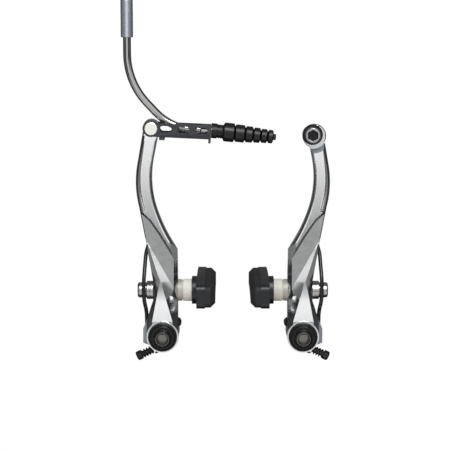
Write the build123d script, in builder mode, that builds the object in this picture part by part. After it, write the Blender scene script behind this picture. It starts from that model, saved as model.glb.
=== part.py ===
"""Bicycle V-brake: two linear-pull arms on their pivots, with shoes, springs, link, noodle and boot.

Frame: X to the right as the rider in front of the wheel sees it, Y back into the frame, Z up.
The origin lies midway between the two pivot axes, on the plane where the frame's bosses are met.
Lengths of one arm are given as u (from its pivot axis towards the rim), v (up from the pivot
axis) and depth (from the seat plane towards the viewer). Both arms use the same values.
"""
import os
from dataclasses import dataclass
from math import cos, radians, sin, tan

from build123d import *

os.makedirs("parts", exist_ok=True)

# Layout of the pair
PIVOT_HALF = 36.0  # pivot axis to the wheel's midplane
FIT = 0.05  # radial running clearance of a turning fit
GAP = 0.3  # free gap between pieces that pass each other
SEAT = 0.02  # radial clearance between pieces that are clamped together
LAP = 0.06  # overlap of two forms that are fused into one

# Pivot: bush on the frame's boss, fixing bolt and its cap
BOSS_R = 4.0  # bore of the bush, for the frame's boss
BUSH_WALL = 1.0
BUSH_LENGTH = 21.0
BUSH_FLANGE_R = 6.4
BUSH_FLANGE = 1.3
CAP_R = 7.4
CAP_THICK = 1.4
BOLT_R = 3.0  # M6
BOLT_REACH = 14.6  # thread behind the cap
BOLT_NECK_R = 3.6  # shoulder inside the cap
BOLT_FLANGE_R = 6.5
BOLT_FLANGE = 1.3
BOLT_HEAD_R = 4.6
BOLT_HEAD = 2.8
HEX_ACROSS = 5.0  # 5 mm hexagon key
HEX_DEPTH = 3.2

# Spring holder behind the arm, with the pin that goes into the frame
HOLDER_THICK = 3.6
HOLDER_R = 8.3
HOLDER_BUMP = (6.9, 4.0)  # stop on the rim side
HOLDER_BUMP_R = 2.4
STOP_PIN_V = 10.6
STOP_PIN_R = 1.5
STOP_PIN_REACH = 4.5  # free length behind the seat plane
STOP_PIN_ROOT_R = 1.8  # thicker root pressed into the holder
LUG_WALL = 1.3

# Return spring
WIRE_R = 1.0
SPRING_FOOT = (-8.4, -4.6)  # end that is held in the holder
SPRING_BOW_U = -9.6
SPRING_TIP = (-4.6, 52.5)
SPRING_BENDS = (3.0, 18.0, 14.0, 14.0, 12.0)
HOOK = (-7.4, 51.6)  # pin on the arm's back that the spring's tip pushes on
HOOK_R = 1.2
HOOK_REACH = 4.4
HOOK_SUNK = 3.0

# Arm, depths: each one is set back from the face round the bush
CREST_SUNK = 0.7  # crest of the lower web below the hub's face
BAR_SUNK = 0.8  # front of the upper bar below the crest
FACET_SUNK = 2.6  # flat facet on the shoulder below the crest
WEB_SUNK = 4.6  # foot of the web below the crest
EAR_THICK = 1.2  # ear over the spring, behind the web's foot
BAR_THICK = 8.2
BEVEL_DEPTH = 2.8
BEVEL_WIDTH = (1.5, 0.8)  # on the outer and the inner flank

# Arm, outline: hub, ear, straight inner edge, and the points of the curved bar
HUB_R = 8.2
HUB_WALL = 1.9  # wall round the bush behind the collar
CHANNEL_TOP = 13.5  # top of the spring's channel in the hub's outer side
EAR_REACH = 2.0  # ear past the hub
EAR_V = (8.0, 3.0, -4.2)
EAR_TURN = 48.0  # where the ear runs into the hub, in degrees below the pivot
INNER_INSET = 0.5  # straight inner edge inside the hub's edge
KNEE_V = 44.2  # top of the straight inner edge
KNEE_CUT = (2.1, 3.6)
WAIST_U = -4.9  # outer edge at the shoe
WAIST_ABOVE = 6.0  # straight waist above and below the shoe post
WAIST_BELOW = 5.2
SHOULDER = (-8.3, 48.5)
ELBOW_OUTER = (-11.6, 66.5)
BOW_OUTER = (-13.2, 79.2)
APEX_OUTER = (-12.2, 89.5)
TOP_OUTER = (-9.4, 105.6)
TOP_INNER = (-1.3, 105.6)
APEX_INNER = (-4.2, 91.0)
BOW_INNER = (-5.1, 80.5)
ELBOW_INNER = (-3.5, 68.5)
BEND_INNER = (0.5, 57.4)
BACK_SLOPE_V = (32.0, 42.0)  # heights between which the back comes forward

# Arm, facets: the step under the bar, the edge between facet and web, and the web's crest
STEP_HEAD = ((-14.0, 66.0), (-10.1, 62.9), (-6.5, 59.6), (-1.9, 52.9))
STEP_TAIL = ((-1.4, 39.4), (2.3, 33.0))  # with u counted from the straight inner edge
STEP_SLOPE = 1.3  # width of the slope between the bar's front and the facet
STEP_WALL = 0.1  # upright foot of that slope
INNER_BEVEL = 1.9  # bevel along the facet's inner edge
FACET_EDGE = ((10.0, 17.0), (-7.0, 47.8), (-9.0, 51.4), (-14.0, 51.4))
CREST_TIP = (-7.4, 0.1)  # middle of the web's tip, and half the width of its crest there
CREST_TOP = (-1.3, -0.9)
CREST_HUB = (-5.3, 5.1)
CREST_DROP = (0.7, 0.3)  # crest at the top and foot of the waist, below the level that the depths count from
CREST_RISE = 0.5  # crest at the hub above that level
TIP_DROP = 0.8  # outer edge of the web's tip below the facet
TIP_FALL = 0.1  # fall across the crest at the tip
WAIST_DROP = 3.8
EAR_DROP = 2.6

# Brake shoe: post, dished washers, nut and pad
POST_V = 22.7
POST_SETBACK = 8.2  # shoe post behind the bar's front
POST_R = 3.0
SLOT_LENGTH = 15.0
SLOT_PLAY = 0.2
DISH_R = 9.0  # ball radius of the dished washers
DISH_GROOVE = 0.5
INNER_CUP_R = 5.6
INNER_CUP = 2.4
SPACER_R = 5.75
SPACER = 4.4
OUTER_WASHER_R = 4.7
OUTER_CUP = 1.8
OUTER_DOME = 1.6
NUT_R = 3.95
NUT_LENGTH = 4.7
NUT_HEX = 2.2  # depth of the key's hexagon
POST_SUNK = 2.0  # post inside the backing
PAD_BOSS_R = 7.2
PAD_BOSS = 2.5
PAD_BACK = 4.4
PAD_RUBBER = 5.2
PAD_HEIGHT = 11.4
PAD_LIP = 0.5  # backing past the rubber
PAD_CORNER = 3.0
PAD_EDGE = 2.4  # bevel along the rubber's top
PAD_RISE = 0.7  # middle of the pad above the post
PAD_FRONT = 21.0  # pad in front of the post
PAD_REAR = 49.0  # pad behind the post
PAD_ARC_R = 320.0  # the rim's curve
GROOVE = 1.4
GROOVE_DEPTH = 1.3
GROOVE_PITCH = 7.0
GROOVE_ANGLE = 28.0

# Spring tension screw
SCREW_ANGLE = 25.0
SCREW_HEAD_R = 2.4
SCREW_HEAD = 2.8
SCREW_R = 1.5
SCREW_ASIDE = 0.45  # screw's axis past the bush, seen along the pivot
SCREW_WALL = 1.3
SCREW_BOSS = 0.2  # screw's boss past the hub
SCREW_SETBACK = 7.7  # screw's axis behind the bar's front
SCREW_CROSS = (3.2, 0.75)  # arms of the driver's cross
COIL_WIRE_R = 0.35
COIL_TURNS = 4.0
COIL_ROOM = 6.8  # between the boss and the screw's head

# Cable link on the left arm
LINK_PIN = (-5.25, 106.9)
LINK_HEAD_R = 4.25
LINK_NOTCH = 0.8  # room round the link's end in the arm
LINK_TILT = -2.7  # degrees
LINK_DROP = 0.6  # middle of the cheeks below the line through pin and slots
LINK_SHEET = 1.2
LINK_ROOM = 7.2  # between the two cheeks
LINK_LENGTH = 30.3
LINK_HEIGHT = 7.0
LINK_TAB = 2.0  # end plate below the cheeks
LINK_SLOT = (6.0, 3.2)
LINK_SLOT_FIRST = 7.4
LINK_SLOT_PITCH = 9.1
LINK_SLOTS = 3
LINK_SLOT_RIM = 0.35
STUB_START = 4.3  # stop under the link, counted from the pin
STUB_LENGTH = 2.7
STUB_DROP = 1.5
LINK_SETBACK = 4.5  # link's midplane behind the bar's front
PIN_R = 2.5
PIN_HEAD_R = 3.35
PIN_HEAD = 0.9
KEYHOLE = 2.4  # slot that lets the cable into the end plate

# Noodle: bent guide tube with its housing socket and its nose
TUBE_R = 2.0
TUBE_BORE_R = 1.25
TUBE_RUN_U = -17.1
TUBE_SLOPE = 47.0
TUBE_BENDS = (36.0, 29.0)
SOCKET_R = 3.1
SOCKET_BORE_R = 2.55  # for 5 mm cable housing
SOCKET_TOP = 171.0
SOCKET_LENGTH = 18.7
SOCKET_DEPTH = 14.8
NOSE_R = 2.9
NOSE_LENGTH = 4.2
NOSE_RUN = 14.8  # from the nose back to the corner of the tube's last bend
NOSE_TIP_R = 2.35
NOSE_TIP = 4.0  # tip past the end plate

# Boot over the cable
BOOT_TILT = -5.9
BOOT_WALL = 0.9
BOOT_COLLAR_R = 3.8
BOOT_COLLAR = 2.6
BOOT_NECK_R = 3.35
BOOT_NECK = 5.8
BOOT_MOUTH_R = 2.6
BOOT_RING_R = (4.8, 4.45, 4.1, 3.8, 3.55, 3.4)
BOOT_RING_LENGTH = (5.85, 5.3, 4.1, 3.8, 3.5, 2.95)
BOOT_FOLD = 1.1  # depth of the folds between rings
BOOT_ROUND = 0.55
BOOT_TIP_R = 1.5
BOOT_TIP = 1.3
CABLE_R = 0.8

# Cable clamp on the right arm
CLAMP = (-4.1, 103.7)
CLAMP_HEAD = (-5.1, 102.9)  # middle of the arm's round head
CLAMP_HEAD_R = 6.0
CLAMP_HEAD_THICK = 5.0
CLAMP_SUNK = 2.2  # clamp's seat below the bar's front
CLAMP_FLOOR_R = 7.3
CLAMP_WASHER_R = 5.15
CLAMP_WASHER = 1.9
CLAMP_BOLT_HEAD_R = 4.0
CLAMP_BOLT_HEAD = 3.8
CLAMP_BOLT_REACH = 9.0

# Places that follow from the sizes above
HOLDER_FRONT = BUSH_FLANGE + HOLDER_THICK
ARM_BACK = HOLDER_FRONT + GAP
ARM_FACE = BUSH_LENGTH - GAP
RIDGE = ARM_FACE - CREST_SUNK
ARM_FRONT = RIDGE - BAR_SUNK
BAR_BACK = ARM_FRONT - BAR_THICK
FACET = RIDGE - FACET_SUNK
WEB_BASE = RIDGE - WEB_SUNK
EAR_FRONT = WEB_BASE - EAR_THICK
POST_DEPTH = ARM_FRONT - POST_SETBACK
SCREW_DEPTH = ARM_FRONT - SCREW_SETBACK
LINK_MID = ARM_FRONT - LINK_SETBACK
CLAMP_FLOOR = ARM_FRONT - CLAMP_SUNK
BUSH_R = BOSS_R + BUSH_WALL
INNER_U = HUB_R - INNER_INSET
STEP = (*STEP_HEAD, *((INNER_U + u, v) for u, v in STEP_TAIL))
WAIST_TOP = POST_V + WAIST_ABOVE
WAIST_FOOT = POST_V - WAIST_BELOW
POST_HOLE = POST_R + SEAT
SCREW_OFFSET = BUSH_R + SCREW_ASIDE
SCREW_TIP = BUSH_R + FIT  # from the foot of the pivot's perpendicular on the screw's axis
SCREW_BOSS_R = SCREW_R + SCREW_WALL
SCREW_BOSS_END = (HUB_R**2 - (SCREW_OFFSET - SCREW_BOSS_R) ** 2) ** 0.5 + SCREW_BOSS
SCREW_HEAD_SEAT = SCREW_BOSS_END + COIL_ROOM


@dataclass
class Side:
    """One arm's side: its name and the direction from its pivot towards the rim."""

    name: str
    inward: int

    def x(self, u):
        return self.inward * (u - PIVOT_HALF)

    def at(self, u, v):
        return (self.x(u), v)

    def space(self, u, v, depth):
        return (self.x(u), -depth, v)

    def across(self, u, rise=0.0):
        """Plane square to the shoe post, facing the rim, with its own y upwards."""
        origin = self.space(u, POST_V + rise, POST_DEPTH)
        return Plane(origin=origin, x_dir=(0, self.inward, 0), z_dir=(self.inward, 0, 0))

    def screw(self, back):
        """Plane square to the tension screw, facing its tip, some way out from the pivot's perpendicular."""
        angle = radians(SCREW_ANGLE)
        u = SCREW_OFFSET * sin(angle) - back * cos(angle)
        v = -SCREW_OFFSET * cos(angle) - back * sin(angle)
        z_dir = (self.inward * cos(angle), 0, sin(angle))
        return Plane(origin=self.space(u, v, SCREW_DEPTH), x_dir=(0, -1, 0), z_dir=z_dir)

    def outer_face(self, builder):
        """The face of a piece that lies furthest from the rim."""
        return builder.faces().sort_by(Axis.X)[0 if self.inward > 0 else -1]


LEFT = Side("left", 1)
RIGHT = Side("right", -1)


def front(depth):
    """Plane parallel to the seat plane, facing the viewer."""
    return Plane.XZ.offset(depth)


def tilted(u, v, depth, angle):
    """Plane on the left arm that faces the viewer, with its own x turned by an angle."""
    turn = radians(angle)
    return Plane(origin=LEFT.space(u, v, depth), x_dir=(cos(turn), 0, sin(turn)), z_dir=(0, -1, 0))


def save(builder, name):
    """Label a finished piece and write it to its own file."""
    builder.part.label = name
    export_step(builder.part, f"parts/{name}.step")


def make_pivot(side):
    """Bush, cap and fixing bolt on one pivot axis."""
    axis = Locations(side.at(0, 0))

    with BuildPart() as bush:
        with BuildSketch(front(0)):
            with axis:
                Circle(BUSH_FLANGE_R)
        extrude(amount=BUSH_FLANGE)
        with BuildSketch(front(0)):
            with axis:
                Circle(BUSH_R)
        extrude(amount=BUSH_LENGTH)
        with BuildSketch(front(0)):
            with axis:
                Circle(BOSS_R)
        extrude(amount=BUSH_LENGTH, mode=Mode.SUBTRACT)
    save(bush, f"{side.name}_pivot_bush")

    with BuildPart() as cap:
        with BuildSketch(front(BUSH_LENGTH)):
            with axis:
                Circle(CAP_R)
                Circle(BOLT_NECK_R + SEAT, mode=Mode.SUBTRACT)
        extrude(amount=CAP_THICK)
        fillet(cap.faces().sort_by(Axis.Y)[0].outer_wire().edges(), CAP_THICK / 2)
    save(cap, f"{side.name}_pivot_cap")

    cap_face = BUSH_LENGTH + CAP_THICK
    with BuildPart() as bolt:
        with BuildSketch(front(BUSH_LENGTH)):
            with axis:
                Circle(BOLT_R)
        extrude(amount=-BOLT_REACH)
        with BuildSketch(front(BUSH_LENGTH)):
            with axis:
                Circle(BOLT_NECK_R)
        extrude(amount=CAP_THICK)
        with BuildSketch(front(cap_face)):
            with axis:
                Circle(BOLT_FLANGE_R)
        extrude(amount=BOLT_FLANGE)
        chamfer(bolt.faces().sort_by(Axis.Y)[0].outer_wire().edges(), BOLT_FLANGE / 2)
        with BuildSketch(front(cap_face + BOLT_FLANGE)):
            with axis:
                Circle(BOLT_HEAD_R)
        extrude(amount=BOLT_HEAD)
        chamfer(bolt.faces().sort_by(Axis.Y)[0].outer_wire().edges(), BOLT_HEAD / 3)
        with BuildSketch(front(cap_face + BOLT_FLANGE + BOLT_HEAD)):
            with axis:
                RegularPolygon(HEX_ACROSS / 2, 6, major_radius=False)
        extrude(amount=-HEX_DEPTH, mode=Mode.SUBTRACT)
    save(bolt, f"{side.name}_pivot_bolt")


def make_spring(side):
    """Spring holder, its stop pin, the return spring and the hook pin on the arm's back."""
    foot_u, foot_v = SPRING_FOOT

    with BuildPart() as holder:
        lugs = (
            (0, 0, HOLDER_R),
            (0, STOP_PIN_V, STOP_PIN_ROOT_R + LUG_WALL),
            (foot_u, foot_v, WIRE_R + LUG_WALL),
            (*HOLDER_BUMP, HOLDER_BUMP_R),
        )
        holes = ((0, 0, BUSH_R), (0, STOP_PIN_V, STOP_PIN_ROOT_R), (foot_u, foot_v, WIRE_R))
        with BuildSketch(front(BUSH_FLANGE)):
            for u, v, radius in lugs:
                with Locations(side.at(u, v)):
                    Circle(radius)
            for u, v, radius in holes:
                with Locations(side.at(u, v)):
                    Circle(radius + SEAT, mode=Mode.SUBTRACT)
        extrude(amount=HOLDER_THICK)
    save(holder, f"{side.name}_spring_holder")

    with BuildPart() as stop_pin:
        with BuildSketch(front(BUSH_FLANGE)):
            with Locations(side.at(0, STOP_PIN_V)):
                Circle(STOP_PIN_R)
        extrude(amount=-BUSH_FLANGE - STOP_PIN_REACH)
        with BuildSketch(front(BUSH_FLANGE)):
            with Locations(side.at(0, STOP_PIN_V)):
                Circle(STOP_PIN_ROOT_R)
        extrude(amount=HOLDER_THICK)
    save(stop_pin, f"{side.name}_stop_pin")

    before_nut = POST_DEPTH + OUTER_WASHER_R + GAP + WIRE_R
    behind_bar = BAR_BACK - WIRE_R - 2 * GAP
    route = (
        (foot_u, foot_v, BUSH_FLANGE),
        (foot_u, foot_v, ARM_BACK + 3 * WIRE_R),
        (foot_u, CHANNEL_TOP - WIRE_R, EAR_FRONT - WIRE_R - GAP),
        (SPRING_BOW_U, POST_V - OUTER_WASHER_R, before_nut),
        (SPRING_BOW_U, POST_V + OUTER_WASHER_R + WIRE_R, before_nut),
        (SPRING_BOW_U + WIRE_R, BACK_SLOPE_V[1] + WIRE_R, behind_bar),
        (*SPRING_TIP, behind_bar),
    )
    with BuildPart() as spring:
        with BuildLine():
            wire = FilletPolyline(*[side.space(*p) for p in route], radius=SPRING_BENDS)
        with BuildSketch(Plane(origin=wire @ 0, z_dir=wire % 0)):
            Circle(WIRE_R)
        sweep(path=wire)
    save(spring, f"{side.name}_return_spring")

    with BuildPart() as hook:
        with BuildSketch(front(BAR_BACK - HOOK_REACH)):
            with Locations(side.at(*HOOK)):
                Circle(HOOK_R)
        extrude(amount=HOOK_REACH + HOOK_SUNK)
        fillet(hook.faces().sort_by(Axis.Y)[-1].edges(), HOOK_R / 3)
    save(hook, f"{side.name}_spring_hook")


def bar_outline(side):
    """Closed outline of the arm without its head, from the hub to the top of the bar."""
    turn = radians(EAR_TURN)
    ear_top, ear_mid, ear_low = EAR_V
    ear_u = -HUB_R - EAR_REACH
    elbow, top = side.at(*ELBOW_OUTER), side.at(*TOP_INNER)
    hub_outer, hub_inner = side.at(-HUB_R * cos(turn), -HUB_R * sin(turn)), side.at(HUB_R, 0)
    knee_low, knee_high = side.at(INNER_U, KNEE_V), side.at(INNER_U - KNEE_CUT[0], KNEE_V + KNEE_CUT[1])
    waist = (side.at(*SHOULDER), side.at(WAIST_U, WAIST_TOP), side.at(WAIST_U, WAIST_FOOT))
    ear = (side.at(-HUB_R, ear_top), side.at(ear_u, ear_mid), side.at(ear_u, ear_low))
    Polyline(top, side.at(*TOP_OUTER), side.at(*APEX_OUTER))
    ThreePointArc(side.at(*APEX_OUTER), side.at(*BOW_OUTER), elbow)
    Polyline(elbow, *waist, *ear, hub_outer)
    ThreePointArc(hub_outer, side.at(0, -HUB_R), hub_inner)
    Polyline(hub_inner, side.at(INNER_U, HUB_R / 2), knee_low, knee_high)
    ThreePointArc(knee_high, side.at(*BEND_INNER), side.at(*ELBOW_INNER))
    ThreePointArc(side.at(*ELBOW_INNER), side.at(*BOW_INNER), side.at(*APEX_INNER))
    Line(side.at(*APEX_INNER), top)


def make_arm(side):
    """Forged arm: curved upper bar, faceted lower web, hub, shoe slot and its own kind of head."""
    head, head_r, head_back = LINK_PIN, LINK_HEAD_R, BAR_BACK
    if side is RIGHT:
        head, head_r, head_back = CLAMP_HEAD, CLAMP_HEAD_R, ARM_FRONT - CLAMP_HEAD_THICK

    with BuildPart() as arm:
        with BuildSketch(side.screw(SCREW_BOSS_END)):
            Circle(SCREW_BOSS_R)
        extrude(amount=SCREW_BOSS_END - SCREW_TIP + SCREW_WALL)
        with BuildSketch(front(ARM_BACK)):
            with BuildLine():
                bar_outline(side)
            make_face()
        extrude(amount=ARM_FRONT - ARM_BACK)
        with BuildSketch(front(head_back)):
            with Locations(side.at(*head)):
                Circle(head_r)
        extrude(amount=ARM_FRONT - head_back)
        middle = side.x((BOW_INNER[0] + SHOULDER[0]) / 2)
        for width, sign in zip(BEVEL_WIDTH, (-side.inward, side.inward)):
            face = arm.faces().sort_by(Axis.Y)[0]
            flanks = face.edges().filter_by_position(Axis.Z, KNEE_V, head[1] - head_r)
            flank = [edge for edge in flanks if sign * (edge.center().X - middle) > 0]
            chamfer(flank, width, BEVEL_DEPTH, reference=face)

        # The facet on the shoulder lies below the bar's front, and the web's foot is cut back for its crest
        rim_u, outside_u = FACET_EDGE[0][0], FACET_EDGE[-1][0]
        below = ((rim_u, -HUB_R), *FACET_EDGE, (outside_u, -HUB_R))
        for depth, region in ((FACET, (*STEP, *FACET_EDGE)), (WEB_BASE, below)):
            with BuildSketch(front(depth)):
                with BuildLine():
                    Polyline(*[side.at(*p) for p in region], close=True)
                make_face()
            extrude(amount=ARM_FRONT, mode=Mode.SUBTRACT)
        bar = arm.faces().sort_by(Axis.Y)[0]
        middles = [((a[0] + b[0]) / 2, (a[1] + b[1]) / 2) for a, b in zip(STEP[1:], STEP[2:-1])]
        edges = [bar.edges().sort_by_distance(side.space(*middle, ARM_FRONT))[0] for middle in middles]
        chamfer(edges, STEP_SLOPE, ARM_FRONT - FACET - STEP_WALL, reference=bar)

        # Sections of the lower web: height, then outer edge, both ends of the crest and inner edge,
        # each as u and how far it lies below the crest
        (rim_u, rim_v), (tip_u, tip_v) = FACET_EDGE[:2]
        lean = (tip_u - rim_u) / (tip_v - rim_v)
        edge_v = rim_v + (INNER_U - rim_u) / lean
        edge_u = rim_u + (WAIST_TOP - rim_v) * lean
        tip_out = SHOULDER[0] + (SHOULDER[1] - tip_v) * (WAIST_U - SHOULDER[0]) / (SHOULDER[1] - WAIST_TOP)
        tip_left, tip_right = CREST_TIP[0] - CREST_TIP[1], CREST_TIP[0] + CREST_TIP[1]
        tip_drops = (FACET_SUNK + TIP_DROP, FACET_SUNK + TIP_FALL, FACET_SUNK, FACET_SUNK)
        ear_v, inner_drop = EAR_V[0], FACET_SUNK + INNER_BEVEL
        crest_top, crest_foot = CREST_DROP
        top_drops = (WAIST_DROP, crest_top, crest_top, FACET_SUNK)
        foot_drops = (WAIST_DROP, crest_foot, crest_foot, inner_drop)
        hub_drops = (EAR_DROP, -CREST_RISE, -CREST_RISE, inner_drop)

        def crest(v):
            """Both ends of the crest at a height, on straight lines from the waist to the hub."""
            share = (WAIST_TOP - v) / (WAIST_TOP - ear_v)
            return [high + (low - high) * share for high, low in zip(CREST_TOP, CREST_HUB)]

        web = (
            (tip_v, (tip_out, tip_left, tip_right, tip_u + LAP), tip_drops),
            (WAIST_TOP, (WAIST_U, *CREST_TOP, edge_u + LAP), top_drops),
            (edge_v, (WAIST_U, *crest(edge_v), INNER_U), top_drops),
            (WAIST_FOOT, (WAIST_U, *crest(WAIST_FOOT), INNER_U), foot_drops),
            (ear_v, (-HUB_R, *CREST_HUB, INNER_U), hub_drops),
            (0, (-HUB_R, *CREST_HUB, HUB_R), hub_drops),
        )
        for v, places, drops in web:
            points = [(u, RIDGE - drop) for u, drop in zip(places, drops)]
            corners = ((places[0], WEB_BASE), *points, (places[-1], WEB_BASE))
            with BuildSketch(Plane.XY.offset(v)):
                with BuildLine():
                    Polyline(*[(side.x(u), -depth) for u, depth in corners], close=True)
                make_face()
        loft(ruled=True)

        # Bevel along the straight inner edge, from the foot of the waist to the knee
        past = 2 * INNER_BEVEL
        high, low = (INNER_U - INNER_BEVEL - past, FACET + past), (INNER_U + INNER_BEVEL, FACET - past)
        with BuildSketch(Plane.XY.offset(WAIST_FOOT)):
            with BuildLine():
                Polyline(*[(side.x(u), -depth) for u, depth in (high, low, (low[0], high[1]))], close=True)
            make_face()
        extrude(amount=KNEE_V + KNEE_CUT[1] - WAIST_FOOT, mode=Mode.SUBTRACT)

        # Hub with its collar, the channel that the spring's foot lies in, and the bore for the bush
        with BuildSketch(front(ARM_BACK)):
            with Locations(side.at(0, 0)):
                Circle(HUB_R)
        extrude(amount=ARM_FACE - ARM_BACK)
        channel_u, far_u = -(BUSH_R + FIT + HUB_WALL), -2 * HUB_R
        channel = ((channel_u, -HUB_R), (channel_u, CHANNEL_TOP), (far_u, CHANNEL_TOP), (far_u, -HUB_R))
        with BuildSketch(front(ARM_BACK)):
            with BuildLine():
                Polyline(*[side.at(*p) for p in channel], close=True)
            make_face()
        extrude(amount=EAR_FRONT - ARM_BACK, mode=Mode.SUBTRACT)
        with BuildSketch(front(ARM_BACK)):
            with Locations(side.at(0, 0)):
                Circle(BUSH_R + FIT)
        extrude(amount=BUSH_LENGTH, mode=Mode.SUBTRACT)
        with BuildSketch(side.screw(SCREW_TIP - FIT)):
            Circle(SCREW_R + FIT)
        extrude(amount=SCREW_TIP - FIT - SCREW_HEAD_SEAT, mode=Mode.SUBTRACT)

        # The back comes forward above the shoe
        low, high = BACK_SLOPE_V
        top = head[1] + 2 * head_r
        with BuildSketch(Plane.YZ):
            with BuildLine():
                slope = ((-ARM_BACK, low), (-BAR_BACK, high))
                Polyline((0, low), *slope, (-BAR_BACK, top), (0, top), close=True)
            make_face()
        extrude(amount=2 * PIVOT_HALF, both=True, mode=Mode.SUBTRACT)

        # Slot for the shoe post, and the hole that the spring's hook is pressed into
        with BuildSketch(side.across(0)):
            SlotOverall(SLOT_LENGTH, 2 * (POST_R + SLOT_PLAY), rotation=90)
        extrude(amount=2 * HUB_R, both=True, mode=Mode.SUBTRACT)
        with BuildSketch(front(BAR_BACK)):
            with Locations(side.at(*HOOK)):
                Circle(HOOK_R + SEAT)
        extrude(amount=HOOK_SUNK, mode=Mode.SUBTRACT)

        if side is LEFT:
            # Tongue between the link's cheeks
            half = LINK_ROOM / 2 - GAP
            for start, amount in ((LINK_MID + half, ARM_FRONT), (LINK_MID - half, -ARM_FRONT)):
                with BuildSketch(tilted(*LINK_PIN, start, LINK_TILT)):
                    Circle(LINK_HEAD_R + LINK_NOTCH)
                    with Locations((LINK_LENGTH / 2, -LINK_DROP)):
                        Rectangle(LINK_LENGTH, LINK_HEIGHT + 2 * LINK_NOTCH)
                extrude(amount=amount, mode=Mode.SUBTRACT)
        else:
            # Dished seat for the cable clamp
            with BuildSketch(front(CLAMP_FLOOR)):
                with Locations(side.at(*CLAMP)):
                    Circle(CLAMP_FLOOR_R)
            extrude(amount=2 * CLAMP_SUNK, taper=-45, mode=Mode.SUBTRACT)
        with BuildSketch(front(0)):
            with Locations(side.at(*LINK_PIN) if side is LEFT else side.at(*CLAMP)):
                Circle(PIN_R + FIT if side is LEFT else BOLT_R + SEAT)
        extrude(amount=2 * ARM_FRONT, mode=Mode.SUBTRACT)
    save(arm, f"{side.name}_arm")


def make_tension_screw(side):
    """Adjusting screw under the hub, with the coil that keeps it from working loose."""
    with BuildPart() as screw:
        with BuildSketch(side.screw(SCREW_TIP)):
            Circle(SCREW_R)
        extrude(amount=SCREW_TIP - SCREW_HEAD_SEAT)
        with BuildSketch(side.screw(SCREW_HEAD_SEAT)):
            Circle(SCREW_HEAD_R)
        extrude(amount=-SCREW_HEAD)
        fillet(side.outer_face(screw).edges(), SCREW_HEAD_R / 3)
        with BuildSketch(side.screw(SCREW_HEAD_SEAT + SCREW_HEAD)):
            Rectangle(*SCREW_CROSS)
            Rectangle(*SCREW_CROSS, rotation=90)
        extrude(amount=SCREW_HEAD / 2, mode=Mode.SUBTRACT)
    save(screw, f"{side.name}_tension_screw")

    room = COIL_ROOM - 2 * (COIL_WIRE_R + SEAT)
    coil_r = SCREW_R + COIL_WIRE_R + 2 * SEAT
    base = side.screw(SCREW_HEAD_SEAT - COIL_WIRE_R - SEAT)
    with BuildPart() as coil:
        with BuildLine():
            turns = Helix(room / COIL_TURNS, room, coil_r, center=base.origin, direction=base.z_dir)
        with BuildSketch(Plane(origin=turns @ 0, z_dir=turns % 0)):
            Circle(COIL_WIRE_R)
        sweep(path=turns, is_frenet=True)
    save(coil, f"{side.name}_screw_coil")


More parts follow.
